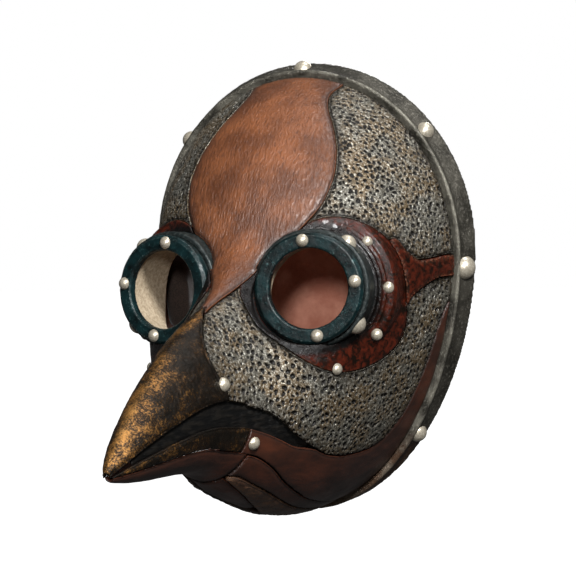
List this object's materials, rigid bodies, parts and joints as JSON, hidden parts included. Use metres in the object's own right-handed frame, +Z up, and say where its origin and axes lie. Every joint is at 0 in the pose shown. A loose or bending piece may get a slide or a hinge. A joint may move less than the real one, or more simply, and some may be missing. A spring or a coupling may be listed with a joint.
{
  "type": "plague doctor mask",
  "caption": "Full-face bird-beaked mask of riveted leather and pitted metal panels with two stepped round eyepieces, a hooked hollow beak, a rim band and a buckled head strap.",
  "frame": {"origin": "centre of the head opening, in the flat plane of the rim band's back edge, level with the side rivets", "axes": "+X towards the wearer's left, +Y out of the back of the mask (the beak points along -Y), +Z up"},
  "size_m": [0.1998, 0.2592, 0.2568],
  "materials": {
    "forehead_leather": "satin tooled leather with fine creases",
    "pitted_plate": "pitted pewter grey with worn gold-brown high spots",
    "jaw_leather": "dark red-brown smooth leather",
    "chin_leather": "mottled tooled brown leather",
    "beak_bronze": "blackened bronze with worn gold ridge",
    "mouth_black": "black ribbed lining",
    "rim_pewter": "mottled dark pewter with bright worn bead",
    "lining": "pinkish brown lining leather",
    "bezel_teal": "dark teal brushed enamel",
    "tube_dark": "near-black metal",
    "oxblood": "glossy antiqued oxblood",
    "rivet_silver": "satin champagne silver",
    "pad_fabric": "dark soft lining cloth over foam",
    "pad_leather": "soft pinkish brown leather over padding",
    "strap_leather": "dark brown strap leather",
    "buckle_metal": "aged brass"
  },
  "bodies": {
    "mask": {"beak_keel": "jaw_leather", "beak_lower_left": "beak_bronze", "beak_lower_right": "beak_bronze", "beak_upper": "beak_bronze", "bezel_rivets_left": "rivet_silver", "bezel_rivets_right": "rivet_silver", "brow_pad": "pad_fabric", "cheek_pad_left": "pad_fabric", "cheek_pad_right": "pad_fabric", "cheek_plate_left": "pitted_plate", "cheek_plate_right": "pitted_plate", "cheek_rivet_left": "rivet_silver", "cheek_rivet_right": "rivet_silver", "chin_plate_left": "chin_leather", "chin_plate_right": "chin_leather", "chin_strip": "jaw_leather", "collar_rivets_left": "rivet_silver", "collar_rivets_right": "rivet_silver", "crown_bracket": "buckle_metal", "flange_rivets_left": "rivet_silver", "flange_rivets_right": "rivet_silver", "forehead_panel": "forehead_leather", "goggle_arm_left": "oxblood", "goggle_arm_right": "oxblood", "goggle_bezel_left": "bezel_teal", "goggle_bezel_right": "bezel_teal", "goggle_collar_left": "tube_dark", "goggle_collar_right": "tube_dark", "goggle_flange_left": "oxblood", "goggle_flange_right": "oxblood", "goggle_tube_left": "tube_dark", "goggle_tube_right": "tube_dark", "jaw_panel_left": "jaw_leather", "jaw_panel_right": "jaw_leather", "jaw_rivet_left": "rivet_silver", "jaw_rivet_right": "rivet_silver", "lower_jaw_panel_left": "jaw_leather", "lower_jaw_panel_right": "jaw_leather", "mouth_liner_left": "mouth_black", "mouth_liner_right": "mouth_black", "rim_band": "rim_pewter", "rim_rivets": "rivet_silver", "shell_liner": "lining", "strap_stud_left": "buckle_metal", "strap_stud_right": "buckle_metal", "temple_pad_left": "pad_fabric", "temple_pad_right": "pad_fabric", "temple_plate_left": "pitted_plate", "temple_plate_right": "pitted_plate"},
    "strap": {"strap_long": "strap_leather", "strap_short": "strap_leather", "strap_eyelets": "buckle_metal", "buckle_frame": "buckle_metal"},
    "crown": {"crown_strap": "strap_leather", "nape_pad": "pad_leather", "crown_rivets": "buckle_metal"},
    "prong": {"buckle_prong": "buckle_metal"},
    "keeper": {"keeper_loop": "strap_leather"}
  },
  "joints": [
    {"name": "strap_swing", "type": "hinge", "parent": "mask", "child": "strap", "pos_m": [0, -0.0125, 0], "axis": [1, 0, 0], "range_deg": [0, 120]},
    {"name": "crown_swing", "type": "hinge", "parent": "mask", "child": "crown", "pos_m": [0, -0.01, 0.099], "axis": [1, 0, 0], "range_deg": [0, 100]},
    {"name": "prong_lift", "type": "hinge", "parent": "strap", "child": "prong", "pos_m": [-0.06289, -0.0125, -0.02962], "axis": [0, 1, 0], "range_deg": [0, 11]},
    {"name": "keeper_slide", "type": "slide", "parent": "strap", "child": "keeper", "axis": [0.2588, 0, -0.9659], "range_m": [-0.005, 0.005]}
  ]
}
